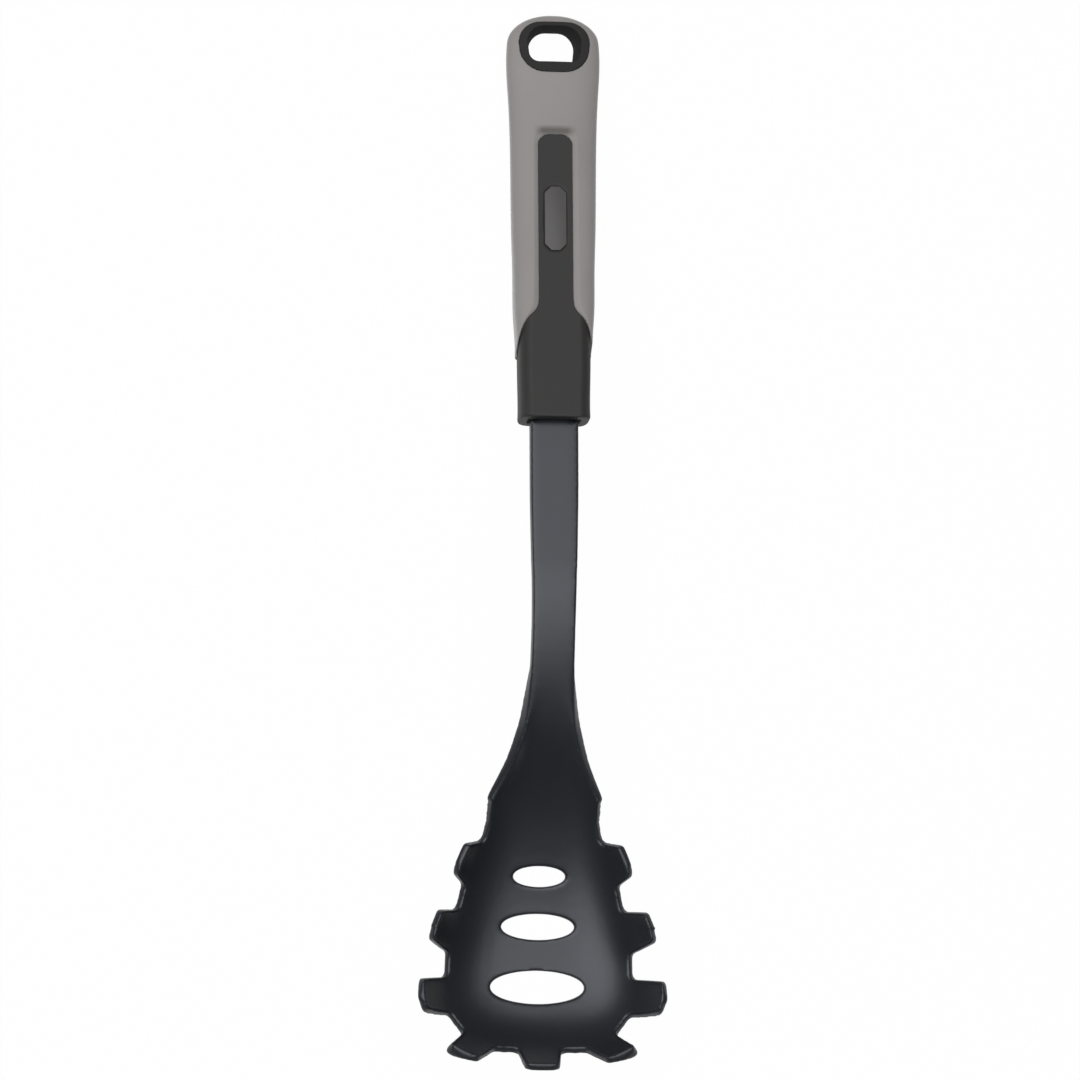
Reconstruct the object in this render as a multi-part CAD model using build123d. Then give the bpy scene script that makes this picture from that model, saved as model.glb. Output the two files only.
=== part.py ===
from build123d import *
import math
import os

# A pasta server lying on its back: a toothed nylon scoop with a long shank, and a
# two-material handle. Y runs from the scoop's end towards the handle's butt, Z is up.

# Driving dimensions, in millimetres and degrees
handle_length = 130.1
handle_width = 28.9
collar_depth = 20.0
butt_depth = 12.6
butt_round_length = 9.4
handle_tilt = 9.0
scoop_reach = 202.1
mouth_width = 74.6
outline_width = 79.2
outline_length = 84.4
end_curve_reach = 28.0
scoop_sweep_radius = 95.0
neck_bend_radius = 90.0
scoop_lowest_place = 40.0
scoop_wall = 2.6
side_wall_rise = 17.0
end_wall_rise = 12.5
shank_width = 15.0
neck_width = 13.4
shank_thickness = 5.5

# Shape of the scoop's walls and where the thick shank thins into the scoop
rim_roundness = 2.6
wall_sharpness = 4.5
thin_wall_place = 75.0
thick_shank_place = 135.0
end_row_bulge = 12.5
bulge_fade_length = 60.0
row_spacing = 3.4
rows_across = 33

# Rim half width and wall rise along the scoop, from the end rim to the neck's narrowest place
rim_station_shares = (0.0, 0.139, 0.211, 0.312, 0.419, 0.486, 0.545, 0.615)
rim_width_shares = (1.0, 1.0, 0.909, 0.702, 0.434, 0.268, 0.195, 0.182)
wall_rise_shares = (1.0, 1.0, 0.98, 0.68, 0.27, 0.14, 0.05, 0.0)
narrowest_neck_place = 137.0
full_shank_place = 185.0

# Gaps between the teeth: shares of the half outline width and of the outline length, in
# the order tip middle, tip corner, root, root, tip corner, tip middle, as seen from above
gap_outline_shares = (
    ((0.500, 1.060), (0.463, 0.998), (0.458, 0.925), (0.490, 0.848), (0.662, 0.836), (0.708, 0.773)),
    ((0.708, 0.773), (0.730, 0.728), (0.634, 0.688), (0.680, 0.592), (0.852, 0.594), (0.898, 0.538)),
    ((0.898, 0.538), (0.925, 0.489), (0.752, 0.436), (0.757, 0.338), (0.998, 0.336), (1.005, 0.275)),
    ((1.005, 0.275), (0.970, 0.221), (0.734, 0.201), (0.610, 0.126), (0.764, 0.078), (0.654, 0.046)),
    ((0.654, 0.046), (0.525, 0.028), (0.374, 0.065), (0.172, 0.063), (0.136, 0.003), (0.000, -0.001)),
)
tooth_tip_radius = 1.8
gap_root_radius = 1.9
gap_cut_reach = 12.0

# Draining slots across the floor
slot_places = (25.8, 44.7, 60.5)
slot_widths = (29.7, 23.1, 16.6)
slot_lengths = (10.3, 8.1, 6.5)

# Tang inside the handle, and the two dowels that hold it
tang_width = 10.0
tang_thickness = 4.0
tang_length = 62.0
socket_clearance = 0.15
pin_diameter = 3.0
pin_length = 12.0
pin_clearance = 0.05
pin_places = (34.0, 50.0)
pin_back_depth = 7.0

# Core and grip of the handle
grip_layer = 1.1
grip_start = 20.6
grip_end_thinning = 0.5
front_flat_depth = 0.6
handle_station_shares = (0.0, 0.153, 0.256, 0.353, 0.451, 0.597, 0.790, 0.928)
handle_width_shares = (0.851, 0.858, 0.865, 0.882, 0.907, 0.927, 0.976, 1.0)
section_squareness_shares = (1.0, 1.0, 0.9, 0.8, 0.74, 0.68, 0.65, 0.65)
collar_squareness = 4.0
dome_steps = 7
dome_spread = 0.9
section_points = 28
collar_pocket_depth = 1.4
collar_pocket_margin = 0.7
collar_end_round = 0.8

# Window in the grip over the strip of bare core: an upright lip, then sloping sides
strip_half_width = 5.4
strip_to_liner = 20.1
strip_corner = 3.6
window_lip = 0.5
window_side_slope = 2.0
window_end_slope = 2.4
flare_start = 37.0
flare_end = 22.6
flare_half_width = 13.4
flare_bulge = 1.0
flare_lean = 0.6

# Blank badge in the strip
badge_width = 6.9
badge_length = 20.6
badge_corner = 2.1
badge_thickness = 1.0
badge_proud = 0.25
badge_to_strip_top = 16.7
badge_clearance = 0.05

# Hang hole and its liner
liner_to_butt = 3.0
liner_length = 16.5
liner_width = 23.6
liner_narrow_share = 0.86
liner_arch_corner = 6.8
liner_base_corner = 8.2
liner_side_wall = 2.7
liner_arch_wall = 1.4
liner_base_wall = 3.3
bore_narrowing = 3.1
bore_arch_corner = 5.4
bore_base_corner = 3.4
liner_proud = 0.3
liner_edge_round = 0.5
liner_clearance = 0.05

overrun = 6.0

half_mouth = mouth_width / 2
tilt = math.radians(handle_tilt)
dome_start = handle_length - butt_round_length
liner_middle = handle_length - liner_to_butt - liner_length / 2
strip_top = liner_middle - liner_length / 2 - strip_to_liner
badge_middle = strip_top - badge_to_strip_top - badge_length / 2
front_flat_level = collar_depth / 2 - front_flat_depth - grip_layer


def smooth_step(share):
    share = min(1.0, max(0.0, share))
    return share * share * (3 - 2 * share)


def smooth_curve(places, values):
    """A smooth line through the given places that never overshoots them."""
    steps = [(values[i + 1] - values[i]) / (places[i + 1] - places[i]) for i in range(len(places) - 1)]
    slopes = [steps[0]]
    for before, after in zip(steps, steps[1:]):
        slopes.append(0.0 if before * after <= 0 else 2 * before * after / (before + after))
    slopes.append(steps[-1])

    def value_at(place):
        place = min(places[-1], max(places[0], place))
        i = max(j for j in range(len(places) - 1) if places[j] <= place)
        gap = places[i + 1] - places[i]
        t = (place - places[i]) / gap
        near = (1 + 2 * t) * (1 - t) ** 2 * values[i] + t * (1 - t) ** 2 * gap * slopes[i]
        far = t * t * (3 - 2 * t) * values[i + 1] + t * t * (t - 1) * gap * slopes[i + 1]
        return near + far

    return value_at


# Where the handle's axis leaves the collar, with the butt's back on the table
butt_drop = math.hypot(butt_round_length * math.sin(tilt), butt_depth / 2 * math.cos(tilt))
axis_height = dome_start * math.sin(tilt) + butt_drop
handle_place = Location(
    Plane(origin=(0, scoop_reach, axis_height), x_dir=(1, 0, 0), z_dir=(0, math.sin(tilt), math.cos(tilt)))
)

# Middle line of the upper face: a hollow arc in the scoop, a bend in the neck, a straight shank
end_rim_place = scoop_wall
shank_top_place = scoop_reach + shank_thickness / 2 * math.sin(tilt)
shank_top_height = axis_height + shank_thickness / 2 * math.cos(tilt)
sweep_centre_height = scoop_wall + scoop_sweep_radius
from_sweep = (
    shank_top_place - neck_bend_radius * math.sin(tilt) - scoop_lowest_place,
    shank_top_height - neck_bend_radius * math.cos(tilt) - sweep_centre_height,
)
along_shank = from_sweep[0] * -math.cos(tilt) + from_sweep[1] * math.sin(tilt)
centre_gap = from_sweep[0] ** 2 + from_sweep[1] ** 2 - (scoop_sweep_radius + neck_bend_radius) ** 2
straight_shank = -along_shank - math.sqrt(along_shank ** 2 - centre_gap)
bend_start = shank_top_place - straight_shank * math.cos(tilt)
bend_centre_place = bend_start - neck_bend_radius * math.sin(tilt)
bend_centre_height = shank_top_height + straight_shank * math.sin(tilt) - neck_bend_radius * math.cos(tilt)
sweep_share = scoop_sweep_radius / (scoop_sweep_radius + neck_bend_radius)
bend_end = scoop_lowest_place + (bend_centre_place - scoop_lowest_place) * sweep_share


def middle_height(y):
    if y > bend_start:
        return shank_top_height + (shank_top_place - y) * math.tan(tilt)
    if y > bend_end:
        return bend_centre_height + math.sqrt(neck_bend_radius ** 2 - (y - bend_centre_place) ** 2)
    return sweep_centre_height - math.sqrt(scoop_sweep_radius ** 2 - (y - scoop_lowest_place) ** 2)


rim_stations = [share * scoop_reach for share in rim_station_shares]
side_rise = smooth_curve(rim_stations, [share * side_wall_rise for share in wall_rise_shares])
rim_half_width = smooth_curve(
    rim_stations + [narrowest_neck_place, full_shank_place, scoop_reach],
    [share * half_mouth for share in rim_width_shares] + [neck_width / 2, shank_width / 2, shank_width / 2],
)
end_run = end_curve_reach - end_rim_place


def end_share(y):
    return max(0.0, (end_curve_reach - y) / end_run)


def upper_height(x, y):
    """Height of the upper face: the middle line plus the walls that rise towards the rim."""
    side = abs(x) / rim_half_width(y)
    end = end_share(y)
    out = (side ** rim_roundness + end ** rim_roundness) ** (1 / rim_roundness)
    if out == 0:
        return middle_height(y)
    turn = end * end / (side * side + end * end)
    rise = side_rise(y) + (end_wall_rise - side_rise(y)) * turn
    return middle_height(y) + rise * out ** wall_sharpness


def upper_point(x, y):
    return Vector(x, y, upper_height(x, y))


def upper_normal(x, y):
    step = scoop_wall / 200
    rise_x = (upper_height(x + step, y) - upper_height(x - step, y)) / (2 * step)
    rise_y = (upper_height(x, y + step) - upper_height(x, y - step)) / (2 * step)
    return Vector(-rise_x, -rise_y, 1).normalized()


def wall_at(y):
    thin_share = smooth_step((y - thin_wall_place) / (thick_shank_place - thin_wall_place))
    return scoop_wall + (shank_thickness - scoop_wall) * thin_share


def end_rim_y(x):
    return end_curve_reach - end_run * (1 - (abs(x) / half_mouth) ** rim_roundness) ** (1 / rim_roundness)


def side_rim_x(y):
    if y > end_curve_reach:
        return rim_half_width(y)
    return half_mouth * (1 - end_share(y) ** rim_roundness) ** (1 / rim_roundness)


corner_y = end_rim_place + end_row_bulge
corner_x = side_rim_x(corner_y)


def row_point(across, y):
    """Plan place on a row that starts at y on the middle line and bulges more near the end."""
    fade = max(0.0, 1 - (y - end_rim_place) / bulge_fade_length) ** 2
    bulge = (end_rim_y(across * corner_x) - end_rim_place) / end_row_bulge
    return across * side_rim_x(y + end_row_bulge * fade), y + end_row_bulge * fade * bulge


def nearest_edge(face, start, end):
    def miss(edge):
        first, last = edge @ 0, edge @ 1
        return min((first - start).length + (last - end).length, (last - start).length + (first - end).length)

    return min(face.edges(), key=miss)


def head_blank():
    """Shank, neck and scoop as one sheet of changing thickness, square-edged and without gaps."""
    row_count = round((shank_top_place - end_rim_place) / row_spacing) + 1
    upper_rows, lower_rows = [], []
    for i in range(row_count):
        y = shank_top_place - (shank_top_place - end_rim_place) * i / (row_count - 1)
        places = [row_point(2 * j / (rows_across - 1) - 1, y) for j in range(rows_across)]
        upper_rows.append([upper_point(px, py) for px, py in places])
        lower_rows.append([upper_point(px, py) - upper_normal(px, py) * wall_at(py) for px, py in places])
    fit = scoop_wall / 500
    upper = Face.make_surface_from_array_of_points(upper_rows, tol=fit)
    lower = Face.make_surface_from_array_of_points(lower_rows, tol=fit)
    sides = []
    for (i, j), (k, m) in (((0, 0), (0, -1)), ((0, -1), (-1, -1)), ((-1, -1), (-1, 0)), ((-1, 0), (0, 0))):
        upper_edge = nearest_edge(upper, upper_rows[i][j], upper_rows[k][m])
        lower_edge = nearest_edge(lower, lower_rows[i][j], lower_rows[k][m])
        sides.append(Face.make_surface_from_curves(upper_edge, lower_edge))
    return Solid(Shell(Face.sew_faces([upper, lower] + sides)[0]))


def point_over_outline(x, y):
    """Point of the upper face whose wall, followed down its normal, ends at x, y."""
    px, py = x, y
    for _ in range(12):
        lean = upper_normal(px, max(py, end_rim_place)) * wall_at(py)
        px, py = x + lean.X, y + lean.Y
    return upper_point(px, py)


def nearest_vertex(face, place):
    return min(face.vertices(), key=lambda vertex: math.hypot(vertex.X - place.X, vertex.Y - place.Y))


def gap_cutter(outline):
    """A prism square to the wall at the gap's root, with rounded root and tooth tips."""
    half_width = outline_width / 2
    points = [point_over_outline(sx * half_width, sy * outline_length) for sx, sy in outline]
    root = (points[2] + points[3]) / 2
    normal = upper_normal(root.X, root.Y)
    along = points[3] - points[2]
    along = (along - normal * along.dot(normal)).normalized()
    plane = Plane(origin=root, x_dir=along, z_dir=normal)
    flat = [plane.to_local_coords(point) for point in points]
    outward = math.copysign(gap_cut_reach + outline_width / 4, flat[1].Y)
    corners = [(p.X, p.Y) for p in flat]
    corners = [(corners[0][0], outward)] + corners + [(corners[-1][0], outward)]
    face = Face(Wire.make_polygon([(px, py, 0) for px, py in corners]))
    for radius, ends in ((gap_root_radius, flat[2:4]), (tooth_tip_radius, (flat[1], flat[4]))):
        face = face.fillet_2d(radius, [nearest_vertex(face, end) for end in ends])
    prism = Solid.extrude(face, Vector(0, 0, 2 * gap_cut_reach))
    return plane.location * Pos(0, 0, -gap_cut_reach) * prism


def server_head():
    head = head_blank()
    for outline in gap_outline_shares:
        cutter = gap_cutter(outline)
        head = head - cutter - mirror(cutter, Plane.YZ)
    for place, width, length in zip(slot_places, slot_widths, slot_lengths):
        slot = extrude(Ellipse(width / 2, length / 2), overrun, both=True)
        head = head - Pos(0, place, middle_height(place)) * slot
    tang = Pos(0, (tang_length - overrun) / 2, 0) * Box(tang_width, tang_length + overrun, tang_thickness)
    tang = tang - pins(pin_diameter, pin_length, pin_clearance)
    return head + handle_place * tang


def handle_section(place, inset):
    """Cross-section of the handle's skin, a rounded box that turns oval towards the butt."""
    share = place / handle_length
    half_width = handle_half_width(min(place, dome_start)) - inset
    half_depth = handle_half_depth(min(place, dome_start)) - inset
    power = 2 / section_power(share)
    if place > dome_start:
        round_share = (place - dome_start) / (butt_round_length - inset)
        shrink = math.sqrt(1 - round_share ** 2)
        half_width, half_depth = half_width * shrink, half_depth * shrink
    points = []
    for i in range(section_points):
        turn = 2 * math.pi * i / section_points
        across, up = math.cos(turn), math.sin(turn)
        px = half_width * math.copysign(abs(across) ** power, across)
        pz = half_depth * math.copysign(abs(up) ** power, up)
        points.append((px, place, pz))
    return Wire([Edge.make_spline([Vector(*p) for p in points], periodic=True)])


handle_places = [share * handle_length for share in handle_station_shares]
handle_half_width = smooth_curve(handle_places, [share * handle_width / 2 for share in handle_width_shares])
section_power = smooth_curve(handle_station_shares, [s * collar_squareness for s in section_squareness_shares])


def handle_half_depth(place):
    return (collar_depth + (butt_depth - collar_depth) * place / dome_start) / 2


def handle_skin(inset, start, end_thinning=0):
    """The handle's outer form, drawn in by an inset, from a start place to the rounded butt."""
    places = [start] + [place for place in handle_places if place > start + grip_layer]
    for i in range(1, dome_steps + 1):
        reach = math.sin(math.pi / 2 * i / (dome_steps + 1)) ** dome_spread
        places.append(dome_start + (butt_round_length - inset) * reach)
    sections = [handle_section(start, inset + end_thinning)]
    return Solid.make_loft(sections + [handle_section(place, inset) for place in places[1:]])


def front_tilted(shape):
    """Lays a shape drawn on XY onto the core's front flat, which follows the handle's taper."""
    slope = math.atan2((collar_depth - butt_depth) / 2, dome_start)
    return Pos(0, 0, front_flat_level) * Rot(X=-math.degrees(slope)) * shape


def front_flat_cut():
    """Planes the core's front flat, up to the top of the window."""
    length = strip_top + window_end_slope * grip_layer
    block = Pos(0, length / 2 - overrun / 2, overrun) * Box(handle_width * 2, length + overrun, 2 * overrun)
    return front_tilted(block)


def window_outline(level):
    """Outline of the window at a level: rounded top, straight sides, a flare out to the skin."""
    over_lip = max(0, level - window_lip)
    side = strip_half_width + over_lip * window_side_slope
    top = strip_top + over_lip * window_end_slope
    corner = strip_corner + over_lip * window_side_slope / 2
    start, end = flare_start + level * flare_lean, flare_end + level * flare_lean
    edges = [
        Edge.make_line((0, top, level), (side - corner, top, level)),
        Edge.make_tangent_arc((side - corner, top, level), (1, 0, 0), (side, top - corner, level)),
        Edge.make_line((side, top - corner, level), (side, start, level)),
    ]
    wide = flare_half_width + over_lip * window_side_slope
    flare = (
        Vector(side, start, level),
        Vector((side + wide) / 2, (start + end) / 2 + flare_bulge, level),
        Vector(wide, end, level),
    )
    edges.append(Edge.make_spline(flare, tangents=[Vector(0, -1, 0), flare[2] - flare[0]]))
    edges.append(Edge.make_line((wide, end, level), (wide, -overrun, level)))
    half = Wire(edges)
    closing = Edge.make_line((wide, -overrun, level), (-wide, -overrun, level))
    return Wire(half.edges() + half.mirror(Plane.YZ).edges() + [closing])


def window_cutter():
    """The space over the bare strip and, at its flare, down the handle's sides."""
    levels = (-front_flat_level, window_lip, 3 * grip_layer)
    return front_tilted(Solid.make_loft([window_outline(level) for level in levels], ruled=True))


def shield_angle(narrowing, length):
    return math.degrees(math.atan2(length, narrowing / 2))


def shield(width, length, base_corner, arch_corner):
    """The outline of a rounded shield, wider towards the butt."""
    narrow = width * liner_narrow_share
    outline = Trapezoid(width, length, shield_angle(width - narrow, length), rotation=180)
    outline = fillet(outline.vertices().sort_by(Axis.Y)[:2], base_corner)
    return fillet(outline.vertices().sort_by(Axis.Y)[-2:], arch_corner)


def liner_block(clearance):
    """A block as deep as the handle, with the liner's outline and a clearance all round."""
    width, length = liner_width + 2 * clearance, liner_length + 2 * clearance
    outline = shield(width, length, liner_base_corner, liner_arch_corner)
    return Pos(0, liner_middle, 0) * extrude(outline, butt_depth, both=True)


def hang_bore():
    """The hang hole, narrower at the back than at the front."""
    length = liner_length - liner_arch_wall - liner_base_wall
    wires = []
    for level in (-butt_depth, butt_depth):
        narrowing = bore_narrowing * (1 / 2 - level / butt_depth)
        width = liner_width - 2 * liner_side_wall - narrowing
        outline = Pos(0, 0, level) * shield(width, length, bore_base_corner, bore_arch_corner)
        wires.append(outline.wire())
    middle = liner_middle + (liner_base_wall - liner_arch_wall) / 2
    return Pos(0, middle, 0) * Solid.make_loft(wires, ruled=True)


def pins(diameter, length, clearance):
    """Two dowels across the tang, or with a clearance their holes."""
    dowels = []
    for place in pin_places:
        dowel = Cylinder(diameter / 2 + clearance, length + clearance)
        dowels.append(Pos(0, place, length / 2 - pin_back_depth) * dowel)
    return dowels


def badge(grow, thickness, lift):
    """A flat bar with cut corners, laid on the bare strip."""
    width, length, corner = badge_width + grow, badge_length + grow, badge_corner
    outline = chamfer(Rectangle(width, length).vertices(), corner)
    plate = Pos(0, badge_middle, lift - thickness) * extrude(outline, thickness)
    return front_tilted(plate)


def handle_pieces():
    """Grip, core, liner, badge and pins, in the handle's own frame."""
    skin = handle_skin(0, grip_start, grip_end_thinning)
    core_form = handle_skin(grip_layer, 0) - front_flat_cut()
    hole = liner_block(liner_clearance)
    grip = skin - core_form - window_cutter() - hole
    socket_length = tang_length + socket_clearance
    socket = Box(tang_width + 2 * socket_clearance, socket_length, tang_thickness + 2 * socket_clearance)
    pocket_margin = 2 * collar_pocket_margin
    pocket = Box(shank_width + pocket_margin, 2 * collar_pocket_depth, shank_thickness + pocket_margin)
    core = core_form - hole - Pos(0, socket_length / 2, 0) * socket - pocket
    core = core - pins(pin_diameter, pin_length, pin_clearance)
    core = core - badge(2 * badge_clearance, badge_thickness, 0)
    end_edge = max(core.faces().sort_by(Axis.Y)[0].outer_wire().edges(), key=lambda edge: edge.length)
    core = core.fillet(collar_end_round, [end_edge])
    bore = hang_bore()
    liner = (handle_skin(-liner_proud, grip_start) & liner_block(0)) - bore
    curved_edges = [edge for edge in liner.edges() if edge.geom_type != GeomType.LINE]
    mouth_edges = [edge for edge in curved_edges if bore.distance_to(edge @ 0.5) < liner_clearance]
    liner = liner.fillet(liner_edge_round, mouth_edges)
    return {
        "soft_grip": grip,
        "handle_core": core,
        "hang_hole_liner": liner,
        "badge_plate": badge(0, badge_thickness + badge_proud, badge_proud),
        "tang_pins": Compound(pins(pin_diameter, pin_length, 0)),
    }


pieces = {name: handle_place * piece for name, piece in handle_pieces().items()}
pieces["server_head"] = server_head()

# The origin is under the middle of the whole, on the table
bounds = Compound(list(pieces.values())).bounding_box()
to_origin = Pos(-bounds.center().X, -bounds.center().Y, -bounds.min.Z)
os.makedirs("parts", exist_ok=True)
for name, piece in pieces.items():
    export_step(to_origin * piece, f"parts/{name}.step")
print("origin moved by", to_origin.position)
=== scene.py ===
# %% [markdown]
# # Dressing a pasta server
# The construction is finished before this lesson starts: a toothed nylon scoop with a long flat
# shank, and a handle made of a charcoal core, a soft grey skin, a lined hang hole and a badge.
# Here those pieces get softened edges, real finishes, a table, a lamp and a camera. Loading the
# frame puts every piece where it belongs, in metres, so nothing is ever moved by hand.

# %% Load the frame
import math

import bpy
from mathutils import Matrix, Vector


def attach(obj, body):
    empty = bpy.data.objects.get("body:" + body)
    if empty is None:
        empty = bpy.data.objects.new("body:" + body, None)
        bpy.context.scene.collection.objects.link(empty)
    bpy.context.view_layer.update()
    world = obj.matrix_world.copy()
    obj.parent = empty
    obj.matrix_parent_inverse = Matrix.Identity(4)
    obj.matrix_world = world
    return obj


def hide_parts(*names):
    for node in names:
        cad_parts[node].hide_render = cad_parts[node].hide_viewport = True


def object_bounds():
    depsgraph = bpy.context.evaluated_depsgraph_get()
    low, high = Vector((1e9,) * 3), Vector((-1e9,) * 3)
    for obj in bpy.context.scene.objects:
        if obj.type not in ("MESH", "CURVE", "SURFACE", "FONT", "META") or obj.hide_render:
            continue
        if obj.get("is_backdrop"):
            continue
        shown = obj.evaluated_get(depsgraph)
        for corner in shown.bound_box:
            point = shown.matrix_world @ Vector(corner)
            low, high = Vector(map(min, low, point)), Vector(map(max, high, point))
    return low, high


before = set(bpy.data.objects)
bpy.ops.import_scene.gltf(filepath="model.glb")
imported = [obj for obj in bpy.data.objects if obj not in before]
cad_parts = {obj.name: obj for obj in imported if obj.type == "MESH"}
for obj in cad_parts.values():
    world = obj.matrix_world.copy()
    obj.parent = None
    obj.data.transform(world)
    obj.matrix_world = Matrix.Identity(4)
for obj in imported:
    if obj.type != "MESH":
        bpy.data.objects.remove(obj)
cad_low, cad_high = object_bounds()
mm = 0.001
body = "root"
print("pieces in the frame:", sorted(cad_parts))
print("size in mm:", [round(side / mm, 1) for side in cad_high - cad_low])

# %% [markdown]
# ## Where the camera stands
# The tool is seen from straight above, from a good way off, a little from one side. A Blender
# camera with no turn already looks straight down with +Y up in the picture, so three small
# turns are enough. A far camera with a long lens keeps the handle and the scoop at one scale,
# as a product photographer would. The scale is given in pixels, because that is how it is
# measured on a picture: the lens follows from it and from the distance.

# %% Set up the camera
picture_pixels = 1080
pixels_per_metre = 3209.0
camera_distance = 2.53
camera_yaw = math.radians(6.5)
camera_pitch = math.radians(-2.0)
camera_roll = math.radians(-0.87)
aim_height = 20 * mm
aim_pixel_x = 550.1
aim_pixel_y = 540.2

camera_turn = Matrix.Rotation(-camera_yaw, 4, "Y")
camera_turn = camera_turn @ Matrix.Rotation(-camera_pitch, 4, "X")
camera_turn = camera_turn @ Matrix.Rotation(-camera_roll, 4, "Z")
half_picture = picture_pixels / 2
off_centre = Vector((half_picture - aim_pixel_x, aim_pixel_y - half_picture, 0))
from_aim = off_centre / pixels_per_metre + Vector((0, 0, camera_distance))
stand = Vector((0, 0, aim_height)) + camera_turn @ from_aim
lens_data = bpy.data.cameras.new("portrait_camera")
lens_data.sensor_width = 36
lens_data.lens = lens_data.sensor_width * camera_distance * pixels_per_metre / picture_pixels
lens_data.clip_end = 20
camera = bpy.data.objects.new("portrait_camera", lens_data)
camera.matrix_world = Matrix.Translation(stand) @ camera_turn
bpy.context.scene.collection.objects.link(camera)
bpy.context.scene.camera = camera
bpy.context.scene.view_settings.view_transform = "Standard"
print("lens in mm:", round(lens_data.lens, 1))

# %% [markdown]
# ## Writing shaders as sums
# Finishes are built from small pieces of maths: a base roughness plus a mask times an amount.
# Wiring Math nodes by hand hides such sums, so one small class wraps a socket and lets Python
# write them. Each operator adds its Math node, and the reflected forms let a number come first.
# Every other node comes from one method that takes its type, its settings and its sockets.

# %% A class that wraps a shader socket
class Wire:
    def __init__(self, tree, socket):
        self.tree = tree
        self.socket = socket

    def maths(self, operation, left, right):
        node = self.tree.nodes.new("ShaderNodeMath")
        node.operation = operation
        for slot, value in zip(node.inputs, (left, right)):
            if isinstance(value, Wire):
                self.tree.links.new(value.socket, slot)
            else:
                slot.default_value = value
        return Wire(self.tree, node.outputs[0])

    def __add__(self, other):
        return self.maths("ADD", self, other)

    def __radd__(self, other):
        return self.maths("ADD", other, self)

    def __mul__(self, other):
        return self.maths("MULTIPLY", self, other)

    def __rmul__(self, other):
        return self.maths("MULTIPLY", other, self)


class Shading:
    """A node tree that hands out its nodes' outputs as wires."""

    def __init__(self, tree):
        self.tree = tree

    def node(self, kind, settings=None, sockets=None, output=0):
        made = self.tree.nodes.new(kind)
        for name, value in (settings or {}).items():
            setattr(made, name, value)
        for name, value in (sockets or {}).items():
            self.feed(made.inputs[name], value)
        return Wire(self.tree, made.outputs[output])

    def feed(self, slot, value):
        if isinstance(value, Wire):
            self.tree.links.new(value.socket, slot)
        else:
            slot.default_value = value


class Finish(Shading):
    """One material, with its Principled shader at hand."""

    def __init__(self, name):
        self.material = bpy.data.materials.new(name)
        self.material.use_nodes = True
        super().__init__(self.material.node_tree)
        self.shader = self.tree.nodes["Principled BSDF"]

    def set(self, sockets):
        for name, value in sockets.items():
            self.feed(self.shader.inputs[name], value)
        print(self.material.name, "has", len(self.tree.nodes), "nodes")


print("a wire knows", [name for name in vars(Wire) if name.endswith(("add__", "mul__"))])

# %% [markdown]
# ## Ingredients that several finishes share
# Moulded plastic is never one flat colour: the melt cools unevenly, so its colour and gloss
# drift a little over a few centimetres, and the mould's etched wall leaves a fine grain.
# Both come from noise read at the piece's own place in metres, so the pattern stays on the
# surface from every side. The grain only tilts the light, so it goes through a Bump node.

# %% Noise, drift and grain
def noise(finish, size, detail=2.0, stretch=(1, 1, 1)):
    """Smooth noise from 0 to 1 whose blobs are about the given size, in metres."""
    place = finish.node("ShaderNodeTexCoord", output="Object")
    stretched = finish.node("ShaderNodeMapping", sockets={"Vector": place, "Scale": stretch})
    sockets = {"Vector": stretched, "Scale": 1 / size, "Detail": detail}
    return finish.node("ShaderNodeTexNoise", sockets=sockets)


def spread(finish, share, low, high):
    """Stretches what lies between two levels of a value to the whole range from 0 to 1."""
    sockets = {"Value": share, "From Min": low, "From Max": high}
    return finish.node("ShaderNodeMapRange", sockets=sockets)


def blend(finish, share, first, second):
    """A colour between two, by a share. The Mix node's colour sockets have these numbers."""
    first, second = (part if isinstance(part, Wire) else (*part, 1) for part in (first, second))
    sockets = {0: share, 6: first, 7: second}
    return finish.node("ShaderNodeMix", {"data_type": "RGBA"}, sockets, output=2)


def between(finish, axis, low, high, fade):
    """1 between two places along an axis, in metres, and softly falling to 0 past them."""
    place = finish.node("ShaderNodeTexCoord", output="Object")
    value = finish.node("ShaderNodeSeparateXYZ", sockets={"Vector": place}, output=axis)
    rise = spread(finish, value, low - fade, low + fade)
    fall = spread(finish, value, high + fade, high - fade)
    return rise * fall


def grain(finish, height, depth):
    """Tilts the light by a pattern from 0 to 1, as if it stood up to the depth in metres."""
    return finish.node("ShaderNodeBump", sockets={"Height": height, "Distance": depth})


print("ingredients:", [made.__name__ for made in (noise, spread, blend, between, grain)])

# %% [markdown]
# ## Nylon of the scoop
# The scoop is glass-filled nylon: nearly black with a breath of blue, and satin, so its flats
# mirror the lamp as a broad pale glow while its steep walls stay black. That contrast is made
# by the shape and by the gloss, so the colour itself stays very dark and almost even.

# %% Nylon finish
nylon_shades = (0.0100, 0.0112, 0.0148), (0.0130, 0.0142, 0.0180)
nylon = Finish("satin_nylon")
nylon_drift = spread(nylon, noise(nylon, 40 * mm), 0.35, 0.65)
nylon_grain = noise(nylon, 0.35 * mm, 3.0)
nylon.set({
    "Base Color": blend(nylon, nylon_drift, *nylon_shades),
    "Roughness": 0.37 + 0.04 * nylon_drift + 0.04 * nylon_grain,
    "Specular IOR Level": 0.58,
    "Specular Tint": (0.92, 0.93, 1.0, 1),
    "Normal": grain(nylon, nylon_grain, 0.02 * mm),
})

# %% [markdown]
# ## Charcoal core
# The handle's core is a harder plastic from an etched mould, so it is duller than the scoop
# and a touch warmer. A coarser grain, a higher roughness and less mirror are all it needs.

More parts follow.
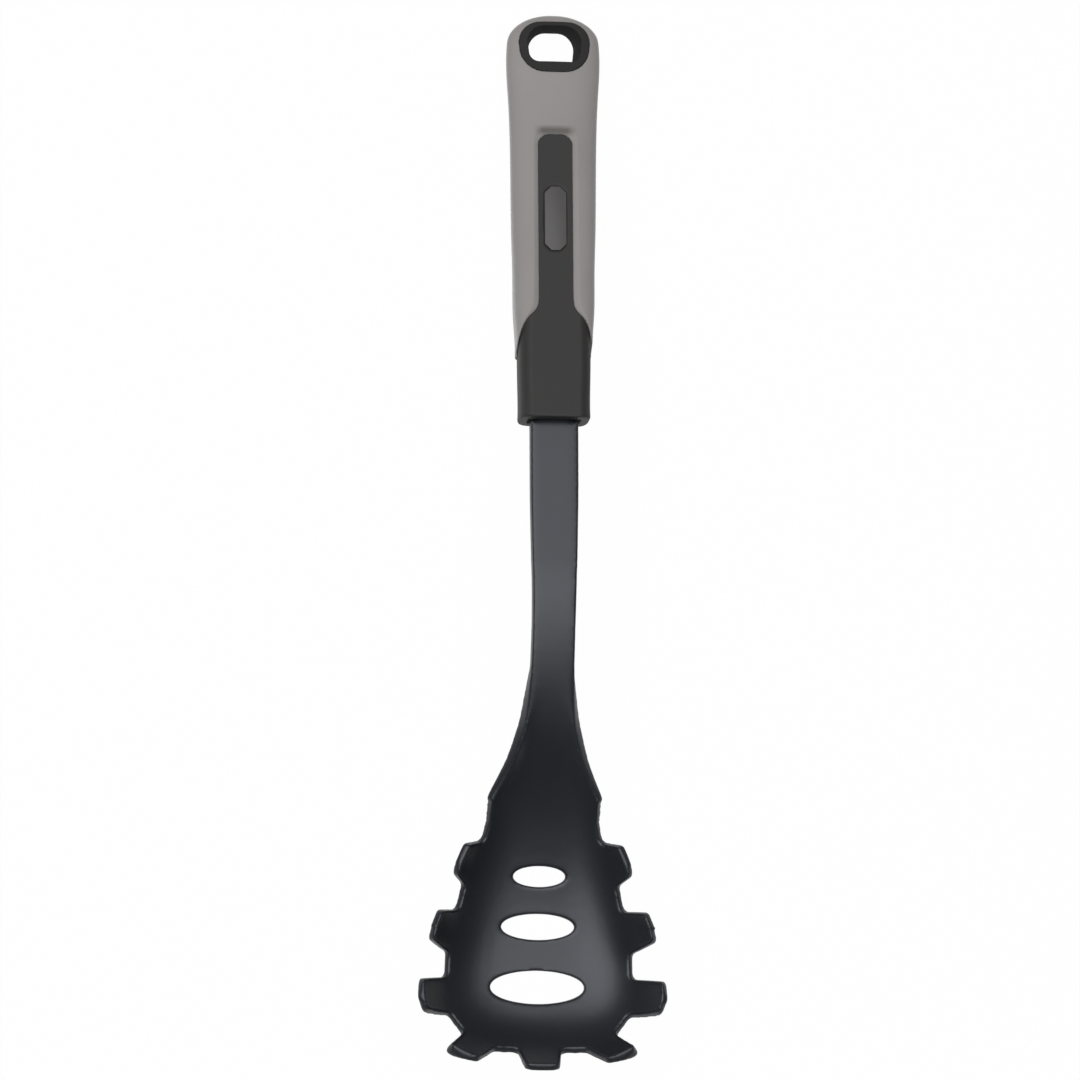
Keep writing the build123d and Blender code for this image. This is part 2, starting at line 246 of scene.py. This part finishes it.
# %% Core finish
charcoal_shades = (0.0285, 0.0270, 0.0267), (0.0325, 0.0310, 0.0307)
charcoal = Finish("etched_charcoal")
charcoal_drift = spread(charcoal, noise(charcoal, 25 * mm), 0.35, 0.65)
charcoal_grain = noise(charcoal, 0.45 * mm, 3.0)
charcoal.set({
    "Base Color": blend(charcoal, charcoal_drift, *charcoal_shades),
    "Roughness": 0.50 + 0.05 * charcoal_drift + 0.06 * charcoal_grain,
    "Specular IOR Level": 0.25,
    "Normal": grain(charcoal, charcoal_grain, 0.03 * mm),
})

# %% [markdown]
# ## Soft-touch rubber
# The grip is a thermoplastic rubber with a velvety skin. It has almost no gloss, a warm mid
# grey, and a faint bloom where it turns away from the eye. The bloom is the shader's own
# sheen, set straight on its socket, and not painted, so it stays right from every side.
#
# Just past the window's end the skin slopes down. Its shade is painted into the grip's colour
# as a darker patch, because the slope is too shallow to shade that much. The painted shade is a
# soft patch on the front of the handle, so its mask is the product of three ranges, along X, Y
# and Z, in the frame's metres.

# %% Grip finish
rubber_shades = (0.262, 0.248, 0.242), (0.285, 0.271, 0.266)
# painted shade: a darker patch where the window's end slopes down
painted_shade_colour = (0.085, 0.078, 0.070)
painted_shade_strength = 0.8
patch_half_width = 5.3 * mm
patch_start = 127.0 * mm
patch_end = 129.3 * mm
patch_floor = 14 * mm
patch_top = 40 * mm

rubber = Finish("soft_touch_rubber")
# mask of the painted shade, on the front of the grip just past the window's end
painted_shade_mask = between(rubber, "X", -patch_half_width, patch_half_width, fade=1.4 * mm)
painted_shade_mask = painted_shade_mask * between(rubber, "Y", patch_start, patch_end, fade=0.8 * mm)
painted_shade_mask = painted_shade_mask * between(rubber, "Z", patch_floor, patch_top, fade=1 * mm)
rubber_drift = spread(rubber, noise(rubber, 30 * mm, 3.0), 0.3, 0.7)
rubber_grain = noise(rubber, 0.3 * mm, 4.0)
rubber_grey = blend(rubber, rubber_drift, *rubber_shades)
rubber.set({
    # the base colour lays the painted shade over the drifting grey
    "Base Color": blend(rubber, painted_shade_mask * painted_shade_strength, rubber_grey, painted_shade_colour),
    "Roughness": 0.74 + 0.08 * rubber_grain,
    "Normal": grain(rubber, rubber_grain, 0.03 * mm),
    "Sheen Weight": 0.6,
    "Sheen Roughness": 0.35,
})

# %% [markdown]
# ## Liner, badge and dowels
# Three small finishes: the ring in the hang hole is dull black, the badge is a lighter grey
# with a fine brushed grain along its length, and the dowels inside the handle are ground
# steel. The badge carries no words, so its plain surface is all that shows.

# %% Small finishes
liner_shades = (0.0330, 0.0320, 0.0320), (0.0380, 0.0365, 0.0365)
badge_shades = (0.060, 0.057, 0.058), (0.078, 0.074, 0.076)
steel_shades = (0.5, 0.5, 0.51), (0.62, 0.62, 0.63)

liner_black = Finish("liner_black")
liner_grain = noise(liner_black, 0.3 * mm, 3.0)
liner_black.set({
    "Base Color": blend(liner_black, liner_grain, *liner_shades),
    "Roughness": 0.78 + 0.08 * liner_grain,
    "Specular IOR Level": 0.05,
    "Normal": grain(liner_black, liner_grain, 0.02 * mm),
})
badge_grey = Finish("badge_grey")
badge_brush = noise(badge_grey, 0.25 * mm, 3.0, (1, 0.04, 1))
badge_grey.set({
    "Base Color": blend(badge_grey, badge_brush, *badge_shades),
    "Roughness": 0.5 + 0.1 * badge_brush,
    "Normal": grain(badge_grey, badge_brush, 0.02 * mm),
})
dowel_steel = Finish("ground_steel")
dowel_turning = noise(dowel_steel, 0.2 * mm, 3.0, (1, 1, 12))
dowel_steel.set({
    "Base Color": blend(dowel_steel, dowel_turning, *steel_shades),
    "Roughness": 0.25 + 0.15 * dowel_turning,
    "Metallic": 1.0,
})

# %% [markdown]
# ## Softening a moulded edge
# The frame's pieces have knife edges, and no moulded edge is that sharp: light catches a real
# one as a thin soft line. A bevel would be the first thought, but it trips over the thin
# slivers where curved walls meet. Instead a copy of the piece is welded, wrapped in an even
# skin of small squares by a Remesh, and rubbed down a few times by a Smooth modifier, as fine
# paper would take the edge off.
#
# The squares lie on a grid, and an edge that runs askew to the grid comes out as tiny steps.
# The handle leans in the frame, so its pieces are first turned level, wrapped, and turned
# back. The copy stands for the piece, which stays hidden in the frame.

# %% Helpers that copy, wrap and rub down
handle_tilt = math.radians(9.0)
most_triangles = 180000
weld_reach = 0.001 * mm
stroke_strength = 0.5


def pick(piece):
    bpy.ops.object.select_all(action="DESELECT")
    piece.select_set(True)
    bpy.context.view_layer.objects.active = piece


def apply_modifier(piece, kind, **settings):
    pick(piece)
    modifier = piece.modifiers.new(kind.lower(), kind)
    for name, value in settings.items():
        setattr(modifier, name, value)
    bpy.ops.object.modifier_apply(modifier=modifier.name)


def welded_copy(node, name):
    """A copy of a frame piece whose loose triangles are joined at their corners."""
    piece = bpy.data.objects.new(name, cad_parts[node].data.copy())
    bpy.context.scene.collection.objects.link(piece)
    pick(piece)
    bpy.ops.object.mode_set(mode="EDIT")
    bpy.ops.mesh.select_all(action="SELECT")
    bpy.ops.mesh.remove_doubles(threshold=weld_reach)
    bpy.ops.object.mode_set(mode="OBJECT")
    return piece


def lean(piece, angle):
    pick(piece)
    piece.rotation_euler.x = angle
    bpy.ops.object.transform_apply(location=False, rotation=True, scale=False)


def wrap(piece, square, strokes, tilt=0):
    lean(piece, tilt)
    apply_modifier(piece, "REMESH", mode="VOXEL", voxel_size=square)
    apply_modifier(piece, "SMOOTH", factor=stroke_strength, iterations=strokes)
    lean(piece, -tilt)


def settle(piece):
    """Thins out a skin of squares that has too many triangles, and shades it smooth."""
    triangles = 2 * len(piece.data.polygons)
    if triangles > most_triangles:
        apply_modifier(piece, "DECIMATE", ratio=most_triangles / triangles)
    pick(piece)
    bpy.ops.object.shade_smooth()


def stand_in(piece, node, finish):
    """Gives a piece its finish and lets it stand for the frame's own piece."""
    piece.data.materials.clear()
    piece.data.materials.append(finish.material)
    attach(piece, body)
    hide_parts(node)
    print(piece.name, "triangles:", sum(len(face.vertices) - 2 for face in piece.data.polygons))


print("skins are thinned out past", most_triangles, "triangles")

# %% [markdown]
# ## The scoop and its shank
# One nylon moulding, and the piece that shows most. Its teeth and rims are well rounded, so
# the squares are small next to the thin walls. It is wrapped and rubbed down twice: first with
# coarser squares, which leave out burrs such as a sharp tip on a tooth, and then with fine
# ones, which take the steps out of the first skin.

# %% Soften the scoop
scoop = welded_copy("server_head", "toothed_scoop")
wrap(scoop, square=0.5 * mm, strokes=5)
wrap(scoop, square=0.32 * mm, strokes=9)
print("squares on the scoop:", len(scoop.data.polygons))

# %% [markdown]
# ## Ironing the shank
# A mesh stands for a curve by short flat facets, and a glossy surface shows each one as a
# band. On the shank they are over two millimetres long, more than a few strokes can level,
# and many strokes would melt its edges. So a vertex group keeps a hundred strokes clear of
# the edges: its weight is nought at a side and grows to one a little further in. The width
# changes along the shank, so the sides are found anew in each short slice.

# %% Iron the shank
slice_length = 1 * mm
spared_edge = 0.6 * mm
side_fade = 1.2 * mm
start_fade = 4.8 * mm


def iron(piece, start, end, strokes):
    """Rubs down the broad faces between two places along the tool, and spares the edges."""
    slices = {}
    for point in piece.data.vertices:
        if start < point.co.y < end:
            slices.setdefault(math.floor(point.co.y / slice_length), []).append(point)
    group = piece.vertex_groups.new(name="broad_faces")
    for points in slices.values():
        half_width = max(abs(point.co.x) for point in points)
        for point in points:
            from_side = (half_width - abs(point.co.x) - spared_edge) / side_fade
            from_start = (point.co.y - start) / start_fade
            weight = max(0, min(from_side, from_start, 1))
            group.add([point.index], weight, "REPLACE")
    settings = {"vertex_group": group.name, "factor": stroke_strength, "iterations": strokes}
    apply_modifier(piece, "SMOOTH", **settings)
    piece.vertex_groups.clear()
    print("slices along the shank:", len(slices))


iron(scoop, start=-55 * mm, end=60 * mm, strokes=100)
settle(scoop)
stand_in(scoop, "server_head", nylon)

# %% [markdown]
# ## The handle's core
# The core shows as the collar and as the strip in the grip's window. Its front flat meets the
# rounded sides in a crisp line, so it gets only three strokes.

# %% Soften the core
core = welded_copy("handle_core", "collar_and_strip")
wrap(core, square=0.4 * mm, strokes=3, tilt=handle_tilt)
settle(core)
stand_in(core, "handle_core", charcoal)

# %% [markdown]
# ## The grip
# The soft skin is only about a millimetre thick, so its squares are smaller still. The lip
# round the window and the two tails that run out over the collar come out softly rounded,
# as a rubber skin that is moulded over a hard core always is.

# %% Soften the grip
grip = welded_copy("soft_grip", "grey_grip_skin")
wrap(grip, square=0.3 * mm, strokes=5, tilt=handle_tilt)
settle(grip)
stand_in(grip, "soft_grip", rubber)

# %% [markdown]
# ## The ring in the hang hole
# A flat ring with a bore that narrows towards the back. It is small and its face has to stay
# flat, so it gets the finest squares and few strokes.

# %% Soften the ring
ring = welded_copy("hang_hole_liner", "hang_hole_ring")
wrap(ring, square=0.2 * mm, strokes=4, tilt=handle_tilt)
settle(ring)
stand_in(ring, "hang_hole_liner", liner_black)

# %% [markdown]
# ## The badge
# A bar with cut corners and nothing curved on it, so here a real bevel does work: flat faces
# leave it no slivers to trip over. Its flats are first cleared of the triangles' diagonals,
# and then every edge sharper than thirty degrees gets a narrow rounded bevel.

# %% Bevel the badge
flat_limit = math.radians(1)
edge_limit = math.radians(30)
shading_limit = math.radians(40)
bevel_width = 0.18 * mm

badge = welded_copy("badge_plate", "blank_badge")
bpy.ops.object.mode_set(mode="EDIT")
bpy.ops.mesh.select_all(action="SELECT")
bpy.ops.mesh.dissolve_limited(angle_limit=flat_limit)
bpy.ops.object.mode_set(mode="OBJECT")
sharp_edges = {"limit_method": "ANGLE", "angle_limit": edge_limit}
apply_modifier(badge, "BEVEL", width=bevel_width, segments=3, **sharp_edges)
pick(badge)
bpy.ops.object.shade_smooth_by_angle(angle=shading_limit)
stand_in(badge, "badge_plate", badge_grey)

# %% [markdown]
# ## The hidden dowels
# Two steel dowels hold the scoop's tang inside the handle. Nobody sees them, but they are
# part of the tool, so they keep the frame's own shape and only get their finish.

# %% Finish the dowels
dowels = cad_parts["tang_pins"]
dowels.data.materials.clear()
dowels.data.materials.append(dowel_steel.material)
print("dowels carry", dowels.data.materials[0].name)

# %% [markdown]
# ## Table and background
# The tool lies on a pure white table. A floor that bright would bleach the tool from below,
# so the floor's real colour stays a calm white, and only the camera's own rays, and those that
# gloss or glass send on, see it lifted towards white. The shadow is kept, thin as it is.

# %% Floor
floor_side = 14.0
floor_shades = (0.80, 0.80, 0.80), (0.82, 0.82, 0.82)
lift_share = 0.98
pure_white = (1, 1, 1, 1)

bpy.ops.object.select_all(action="DESELECT")
bpy.ops.mesh.primitive_plane_add(size=floor_side, location=(0, 0, cad_low.z))
floor = bpy.context.object
floor.name = "table"
paper = Finish("white_table")
paper.set({
    "Base Color": blend(paper, noise(paper, 60 * mm), *floor_shades),
    "Roughness": 0.9,
})
seen = paper.node("ShaderNodeLightPath", output="Is Camera Ray")
seen = seen + paper.node("ShaderNodeLightPath", output="Is Glossy Ray")
seen = seen + paper.node("ShaderNodeLightPath", output="Is Transmission Ray")
glow = paper.node("ShaderNodeEmission", sockets={"Color": pure_white, "Strength": 1.0})
plain = Wire(paper.tree, paper.shader.outputs[0])
mixed = paper.node("ShaderNodeMixShader", sockets={0: seen * lift_share, 1: plain, 2: glow})
paper.feed(paper.tree.nodes["Material Output"].inputs["Surface"], mixed)
floor.data.materials.append(paper.material)
floor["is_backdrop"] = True

# %% [markdown]
# ## Lamp
# One large soft lamp hangs above the tool, leaning towards the butt and a little to the left.
# It is wide enough to be mirrored as a broad glow in the flat nylon, and narrow enough that
# the scoop's steep walls don't mirror it and stay dark.

# %% Hang the lamp
lamp_side = 3.2
lamp_watts = 104.0
lamp_place = (-0.6, 0.35, 2.9)

lamp_data = bpy.data.lights.new("soft_lamp", "AREA")
lamp_data.shape = "SQUARE"
lamp_data.size = lamp_side
lamp_data.energy = lamp_watts
lamp = bpy.data.objects.new("soft_lamp", lamp_data)
lamp.location = lamp_place
lamp.rotation_euler = lamp.location.to_track_quat("Z", "Y").to_euler()
lamp.visible_camera = False
bpy.context.scene.collection.objects.link(lamp)
print("lamp over the tool at", [round(part, 2) for part in lamp.location])

# %% [markdown]
# ## Room
# The room fills the shadows. It is dim, so that the nylon has something dark to mirror, but
# where the camera looks past the table it has to be as white as the table is.

# %% Fill the room
room_light = 0.13
world = bpy.data.worlds.new("dim_room")
world.use_nodes = True
bpy.context.scene.world = world
room = Shading(world.node_tree)
sky = world.node_tree.nodes["Background"]
sky.inputs["Color"].default_value = pure_white
sky.inputs["Strength"].default_value = room_light
dim = Wire(world.node_tree, sky.outputs[0])
white = room.node("ShaderNodeBackground", sockets={"Color": pure_white, "Strength": 1.0})
straight = room.node("ShaderNodeLightPath", output="Is Camera Ray")
backdrop = room.node("ShaderNodeMixShader", sockets={0: straight, 1: dim, 2: white})
room.feed(world.node_tree.nodes["World Output"].inputs["Surface"], backdrop)
print("room light:", room_light)

# %% [markdown] ## The last look The dressed tool must be the size of the frame's tool, so how far
# its box grew past the frame's box is printed.

# %% Write the sizes and finish
low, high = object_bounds()
growth = (*(cad_low - low), *(high - cad_high))
print("box grew by mm:", [round(part / mm, 2) for part in growth])
